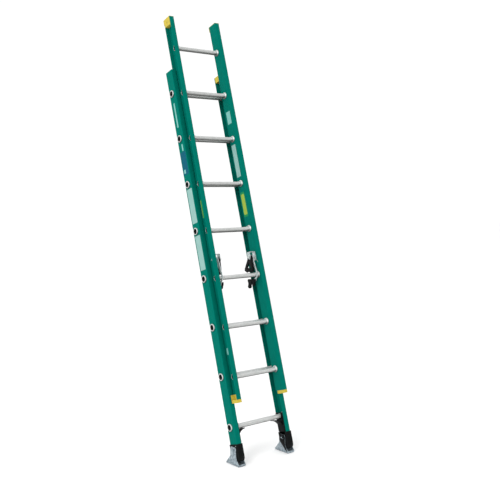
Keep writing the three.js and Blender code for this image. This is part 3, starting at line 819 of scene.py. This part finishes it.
def hexagon(x0, x1, radius, y, z):
    """A six-sided head or nut with turned-off corners."""
    corners = [(y + radius * math.cos(math.radians(a)), z + radius * math.sin(math.radians(a)))
               for a in range(0, 360, 60)]
    low, high = sorted((x0, x1))
    face, corner, slope = radius * 0.9, radius * 1.02, radius * 0.12
    cone = turned([(0, low - 1), (face, low), (corner, low + slope), (corner, high - slope),
                   (face, high), (0, high + 1)], y, z, 36)
    return combine(prism(corners, "X", low, high), cone, "INTERSECT")


def bolt(head_x, end_x, radius, y, z):
    """A hexagon-headed bolt with a rounded end and turned grooves where its thread is."""
    inward = math.copysign(1, end_x - head_x)
    thread = [(SHANK, head_x + inward)]
    x = end_x - inward * THREAD_LENGTH
    while (end_x - x) * inward > 1.5:
        thread += [(SHANK, x), (SHANK - 0.5, x + inward * THREAD_PITCH / 2)]
        x += inward * THREAD_PITCH
    thread += [(SHANK - 0.2, end_x - inward * 1.2), (SHANK - 1.2, end_x), (0, end_x)]
    return together(hexagon(head_x, head_x + inward * HEAD_HEIGHT, radius, y, z),
                    turned([(0, head_x + inward), *thread], y, z, 24))


def nut(x0, x1, radius, y, z):
    """A flanged nut with a hole for the bolt."""
    low, high = sorted((x0, x1))
    washer = turned([(0, low), (radius, low), (radius, low + 1.1), (radius * 0.96, low + 1.5),
                     (0, low + 1.5)], y, z, 36)
    body = join(hexagon(low + 1, high, radius * 0.9, y, z), washer)
    return cut(body, rod(SHANK + GAP, low - 1, high + 1, y, z))


# ------------------------------------------------------------ swivel shoes
# Drawn level, with zero on the pivot.
PAD_TOP = FLOOR + PAD_THICKNESS
PAD_RIBS = 8
PAD_GROOVE = 4  # depth
RIB_SHARE = 0.65  # of the pitch that a tread rib takes up
SKIRT_CLEAR = 3  # from the floor to the skirts round the pad
SHOE_HEX = 9.5  # radius of the shoe bolt's head and nut
SHOE_NUT_HEIGHT = 8


def shoe():
    skirt, sole = FLOOR + SKIRT_CLEAR, PAD_TOP + GAP
    outer, inner = SHOE_OUTER - SHOE_STEEL, SHOE_INNER + SHOE_STEEL
    plate = prism(outline([
        (-24, 18, 14), (-24, -48, 16), (SHOE_FRONT, sole + 4, 3), (SHOE_FRONT, skirt),
        (SHOE_BACK, skirt), (SHOE_BACK, skirt + 4), (33, -39, 8), (30, 18, 16)], 10),
        "X", SHOE_INNER, SHOE_OUTER)
    boot_room = block(inner, SHOE_FRONT - 1, sole + SHOE_STEEL, outer, SHOE_BACK + 1, 30)
    pad_room = block(inner, SHOE_FRONT + SHOE_STEEL, skirt - 1, outer, SHOE_BACK + 1, sole)
    bolt_hole = rod(BOLT_HOLE, SHOE_INNER - 1, SHOE_OUTER + 1)
    body = soften(cut(plate, boot_room, pad_room, bolt_hole), 0.7)
    return together(body, *pressed_ribs())


def pressed_ribs():
    """Raised stiffening ribs that slant across the outer side plate towards the sole."""
    ribs = []
    for ends in (((24, -36), (-22, -73)), ((34, -50), (8, -74)), ((8, -30), (-24, -56))):
        start, end = (Vector(point) for point in ends)
        along = (end - start).normalized()
        across = Vector((-along.y, along.x)) * 2.4
        corners = [tuple(p) for p in (start - across, start + across, end + across, end - across)]
        shape = outline([(*corner, 2) for corner in corners])
        ribs.append(soften(prism(shape, "X", SHOE_OUTER - 0.4, SHOE_OUTER + 1.1), 0.5))
    return ribs


def pivot_cover():
    """Black moulding over the upper part of the shoe's inner side plate, round the nut."""
    shape = outline([(-23.5, 17.5, 14), (-23.5, -48, 14), (-44, -79, 3), (-36, -83, 3),
                     (31, -22, 3), (29, 17.5, 14)])
    sheet = prism(shape, "X", SHOE_INNER - 1.4, SHOE_INNER - 0.1)
    return soften(cut(sheet, rod(10.6, SHOE_INNER - 2, SHOE_INNER + 1)), 0.4)


def shoe_pad():
    """Rubber tread between the skirts, with ribs across it."""
    front, back = SHOE_FRONT + SHOE_STEEL + GAP, SHOE_BACK - 1
    pitch = (back - front) / (PAD_RIBS - 1 + RIB_SHARE)
    groove = FLOOR + PAD_GROOVE
    corners = [(back, PAD_TOP), (front, PAD_TOP)]
    for i in range(PAD_RIBS):
        start = front + i * pitch
        rib_end = start + pitch * RIB_SHARE
        corners += [(start, FLOOR), (rib_end, FLOOR)]
        if i < PAD_RIBS - 1:
            corners += [(rib_end, groove), (start + pitch, groove)]
    margin = SHOE_STEEL + GAP
    return soften(prism(corners, "X", SHOE_INNER + margin, SHOE_OUTER - margin), 0.5, 1)


def shoe_bolt():
    return bolt(SHOE_OUTER + GAP + HEAD_HEIGHT, SHOE_INNER - GAP - BOLT_END, SHOE_HEX, 0, 0)


def shoe_nut():
    return nut(SHOE_INNER - GAP, SHOE_INNER - GAP - SHOE_NUT_HEIGHT, SHOE_HEX, 0, 0)


pair("shoe", shoe, "swivel_shoe", GALVANISED, LEVEL)
pair("shoe_pad", shoe_pad, "swivel_shoe", RUBBER, LEVEL)
pair("shoe_bolt", shoe_bolt, "base_section", GALVANISED, LEVEL)
pair("shoe_nut", shoe_nut, "base_section", BLACK_STEEL, LEVEL)
trim("pivot_cover", pivot_cover, "swivel_shoe", BLACK, LEVEL)

# ------------------------------------------------------------ rung locks
# Drawn around the fly rung that carries them: zero on that rung's axis.
HOOK = (41, 30.4)  # inset of each layer's far and near faces
PLATE = (28, 24)
FINGER = (41, 28.5)
HOOK_CUT = (42, 29)  # the same for what is cut right through each layer
PLATE_CUT = (31, 23)
FINGER_CUT = (42, 28)
BRACKET_TOP = 150
BRACKET_STEEL = 3
BRACKET_HALF_WIDTH = 15
LOCK_HEAD = 8  # radius of the lock bolt's head
LOCK_NUT = 9


def inset(distance):
    """X at this distance in from the fly rail's web."""
    return FLY_WEB - distance


def layer(shape, faces):
    """A shape between two insets."""
    far, near = faces
    return prism(shape, "X", inset(far), inset(near))


def layer_hole(radius, faces, y=0, z=LOCK_PIVOT):
    """What drills a hole between two insets, for the pivot bolt unless another place is given."""
    far, near = faces
    return rod(radius, inset(far), inset(near), y, z)


def swing(radius, degrees, *rounding):
    """A point on an arc about the lock's pivot, turned back from straight down."""
    angle = math.radians(degrees)
    return (radius * math.sin(angle), LOCK_PIVOT - radius * math.cos(angle), *rounding)


def lock_hook():
    """Hook casting: its underside is an arc about the pivot, and its middle is open."""
    seat = [swing(106.5, 47 - 3 * k) for k in range(6)]
    clear = [swing(97, 31 - 5 * k) for k in range(8)]
    shape = outline([swing(13, -150, 5), swing(13, 150, 5), swing(17, 100, 4), swing(98, 50, 5),
                     *seat, *clear, swing(17, -80, 4)])
    window = outline([swing(38, 28, 6), swing(78, 40, 6), swing(80, 5, 6)])
    body = cut(layer(shape, HOOK), layer(window, HOOK_CUT), layer_hole(BOLT_HOLE, HOOK_CUT))
    return soften(body, 1.0)


def lock_plate():
    """Steel plate down in front of the rung and back below it, folded along its front."""
    shape = outline([
        (-13, LOCK_PIVOT + 13, 10), (13, LOCK_PIVOT + 13, 10), (11, LOCK_PIVOT - 16, 8),
        (-18.7, 20, 6), (-18.7, -13, 4), (10, -24, 6), (42, -33, 8), (40, -62, 10),
        (18, -66, 10), (-32, -4, 12)])
    far, near = PLATE
    fold_faces = (far + 2, near + 0.5)
    fold = layer([(-17, LOCK_PIVOT - 22), (-13.5, LOCK_PIVOT - 22), (-24.5, 8), (-28, 8)], fold_faces)
    body = cut(join(layer(shape, PLATE), fold), layer_hole(BOLT_HOLE, PLATE_CUT),
               layer_hole(PIN_HOLE, PLATE_CUT, *FINGER_PIVOT))
    return soften(body, 0.8)


def lock_finger():
    """Finger under the rungs: a body ahead of its pin and a lobe that hangs behind it."""
    claw = outline([
        (-6, -30, 3), (60, -17, 5), (67, -24, 4), (64, -46, 8), (77, -66, 7), (66, -79, 8),
        (50, -74, 6), (46, -52, 8), (32, -54, 6), (22, -71, 4), (12, -68, 5), (-8, -38, 4)])
    body = cut(layer(claw, FINGER), layer_hole(PIN_HOLE, FINGER_CUT, *FINGER_PIVOT))
    return soften(body, 1.2, 3)


def finger_pin():
    """A pin with a rounded head at each end, as a profile of radius and inset."""
    profile = [(0, 44), (4, 44), (5.6, 43.4), (6, 42.6), (6, 41.3), (3.5, 41.3), (3.5, 23.7),
               (6, 23.7), (6, 21), (5.4, 20.2), (3.5, 20.2), (2.9, 19.7), (0, 19.7)]
    return turned([(radius, inset(along)) for radius, along in profile], *FINGER_PIVOT, 32)


def lock_bracket():
    """Inverted U over the lock, its free leg narrowed to the nut."""
    top, under = BRACKET_TOP, BRACKET_TOP - BRACKET_STEEL
    on_rail, free = GAP + BRACKET_STEEL, BRACKET_REACH - BRACKET_STEEL
    strap = prism(outline([
        (inset(GAP), 92), (inset(GAP), top, 5), (inset(BRACKET_REACH), top, 5),
        (inset(BRACKET_REACH), 102), (inset(free), 102), (inset(free), under, 3),
        (inset(on_rail), under, 3), (inset(on_rail), 92)]), "Y", -BRACKET_HALF_WIDTH, BRACKET_HALF_WIDTH)
    waste = [(16, top - 16), (16, 90), (8, 90), (8, 104), (12, 116)]
    corners = [prism([(turned_to * y, z) for y, z in waste], "X", inset(BRACKET_REACH + 1), inset(free - 1))
               for turned_to in (1, -1)]
    bolt_hole = layer_hole(BOLT_HOLE, (BRACKET_REACH + 1, -1))
    return soften(cut(strap, *corners, bolt_hole), 0.7)


def lock_spring():
    """A leg with a bend in it, open turns round the pivot bolt and a leg beside the plate."""
    first, last, radius, turns, steps = 4.6, 22.4, 8.5, 5.4, 160
    points = [(first, y, LOCK_PIVOT + z) for y, z in
              ((-30, -40), (-27, -33), (-18, -25), (-11, -17), (-9.4, -8))]
    for i in range(steps + 1):
        turn = 2 * math.pi * turns * i / steps
        points.append((first + (last - first) * i / steps, -radius * math.cos(turn),
                       LOCK_PIVOT + radius * math.sin(turn)))
    points.append((last, 16, LOCK_PIVOT - 28))
    return tube([Vector((inset(along), y, z)) for along, y, z in points], 0.9)


def lock_bolt():
    head, end = inset(-RAIL_WALL - GAP - HEAD_HEIGHT), inset(BRACKET_REACH + BOLT_END)
    return bolt(head, end, LOCK_HEAD, 0, LOCK_PIVOT)


def lock_nut():
    return nut(inset(BRACKET_REACH + GAP), inset(BRACKET_REACH + 7), LOCK_NUT, 0, LOCK_PIVOT)


pair("lock_bracket", lock_bracket, "fly_section", BRIGHT_STEEL, LOCK)
pair("lock_bolt", lock_bolt, "fly_section", ZINC, LOCK)
pair("lock_nut", lock_nut, "fly_section", ZINC, LOCK)
pair("lock_spring", lock_spring, "fly_section", ZINC, LOCK)
pair("lock_hook", lock_hook, "lock", BLACK_STEEL, LOCK)
pair("lock_plate", lock_plate, "lock", BRIGHT_STEEL, LOCK)
pair("lock_finger", lock_finger, "finger", BLACK, LOCK)
pair("finger_pin", finger_pin, "lock", BLACK_STEEL, LOCK)

# ------------------------------------------------------------ labels
LABEL_THICKNESS = 0.25
LABEL_CLEAR = 0.02  # from the web to the film


def film_sheet(x, facing, y, low, high, width, radius):
    """Film on a web: facing is +1 or -1, the way it looks along X."""
    shape = box_outline(y - width / 2, low, y + width / 2, high, radius)
    return prism(shape, "X", x, x + facing * LABEL_THICKNESS)


def stick(name, place, y, low, high, width, film, radius, films_below):
    """A label on one rail."""
    body, side, web, facing, centre = place
    x = web + facing * (LABEL_CLEAR + films_below * LABEL_THICKNESS)
    trim(name, lambda: film_sheet(x, facing, centre + y, low, high, width, radius),
         body, film, sides=(side,))


# Where a film is stuck: body, side, web, the way it faces and the rail's centre.
FLY_INSIDE = ("fly_section", "right", FLY_WEB, -1, FLY_Y)
BASE_OUTSIDE = ("base_section", "left", BASE_WEB, 1, 0)
FLY_OUTSIDE = ("fly_section", "left", FLY_WEB_OUTER, 1, FLY_Y)

LABELS = [  # name, place, y from the rail's centre, low, high, width, film, corner radius, films below
    ("climbing_label", FLY_INSIDE, 0, 1925, 2010, 42, WHITE_FILM, 3, 0),
    ("instruction_label", FLY_INSIDE, 7, 1560, 1780, 42, FOIL, 4, 0),
    ("hazard_border", FLY_INSIDE, 8, 1290, 1455, 44, GREEN_FILM, 12, 0),
    ("hazard_label", FLY_INSIDE, 8, 1304, 1441, 34, YELLOW_FILM, 9, 1),
    ("size_strip", BASE_OUTSIDE, 2, 1905, 2070, 14, WHITE_FILM, 3, 0),
    ("duty_label", BASE_OUTSIDE, -2, 1590, 1740, 58, BLUE_FILM, 4, 0),
    ("duty_strip", BASE_OUTSIDE, -8, 1745, 1790, 14, WHITE_FILM, 4, 0),
    ("duty_corner", BASE_OUTSIDE, 10, 1600, 1625, 18, WHITE_FILM, 3, 1),
    ("set_up_label", BASE_OUTSIDE, -2, 1270, 1495, 56, FOIL, 4, 0),
    ("use_label", BASE_OUTSIDE, -2, 970, 1190, 56, FOIL, 4, 0),
    ("overlap_label", FLY_OUTSIDE, 6, 1290, 1410, 34, GREEN_FILM, 4, 0),
    ("overlap_edge", FLY_OUTSIDE, 20, 1294, 1406, 4, YELLOW_FILM, 1, 1),
    ("section_label", FLY_OUTSIDE, 6, 430, 470, 34, WHITE_FILM, 4, 0),
]
for name, place, *rest in LABELS:
    stick(name, place, *rest)

# ------------------------------------------------------------ floor, light and camera
def stage():
    floor = bmesh.new()
    bmesh.ops.create_grid(floor, x_segments=1, y_segments=1, size=60)
    mesh = bpy.data.meshes.new("floor")
    floor.to_mesh(mesh)
    floor.free()
    surface = Surface("floor")
    surface.set(Base_Color=(0.98, 0.98, 0.98, 1), Roughness=0.85)
    mesh.materials.append(surface.material)
    obj = bpy.data.objects.new("floor", mesh)
    bpy.context.scene.collection.objects.link(obj)


def area_light(name, place, target, size, power, colour=(1, 1, 1)):
    data = bpy.data.lights.new(name, "AREA")
    data.shape = "RECTANGLE"
    data.size, data.size_y = size
    data.energy = power
    data.color = colour
    obj = bpy.data.objects.new(name, data)
    obj.location = place
    obj.rotation_euler = (Vector(target) - Vector(place)).to_track_quat("-Z", "Y").to_euler()
    bpy.context.scene.collection.objects.link(obj)


def studio():
    world = bpy.data.worlds.new("studio")
    world.use_nodes = True
    background = world.node_tree.nodes["Background"]
    background.inputs["Color"].default_value = (1, 1, 1, 1)
    background.inputs["Strength"].default_value = 1.05
    bpy.context.scene.world = world
    area_light("key", (-4.5, -2.5, 4.2), (0, 0, 1.4), (2.5, 2.5), 160)
    bpy.context.scene.view_settings.view_transform = "Standard"


CAMERA_OFFSET = Vector((-2.7956, -3.6423, 1.2879))  # from the ladder frame's zero
CAMERA_YAW = math.radians(37.282)  # from +Y towards +X
CAMERA_PITCH = math.radians(-2.77)
CAMERA_ROLL = math.radians(1.647)
CAMERA_LENS = 54.15


def camera():
    data = bpy.data.cameras.new("camera")
    data.lens = CAMERA_LENS
    data.sensor_width = 36
    obj = bpy.data.objects.new("camera", data)
    ahead = Vector((math.cos(CAMERA_PITCH) * math.sin(CAMERA_YAW),
                    math.cos(CAMERA_PITCH) * math.cos(CAMERA_YAW), math.sin(CAMERA_PITCH)))
    level = Vector((math.cos(CAMERA_YAW), -math.sin(CAMERA_YAW), 0))
    rise = level.cross(ahead)
    right = level * math.cos(CAMERA_ROLL) - rise * math.sin(CAMERA_ROLL)
    above = level * math.sin(CAMERA_ROLL) + rise * math.cos(CAMERA_ROLL)
    turn = Matrix((right, above, -ahead)).transposed().to_4x4()
    obj.matrix_world = Matrix.Translation(ladder_zero + CAMERA_OFFSET) @ turn
    bpy.context.scene.collection.objects.link(obj)
    bpy.context.scene.camera = obj


stage()
studio()
camera()
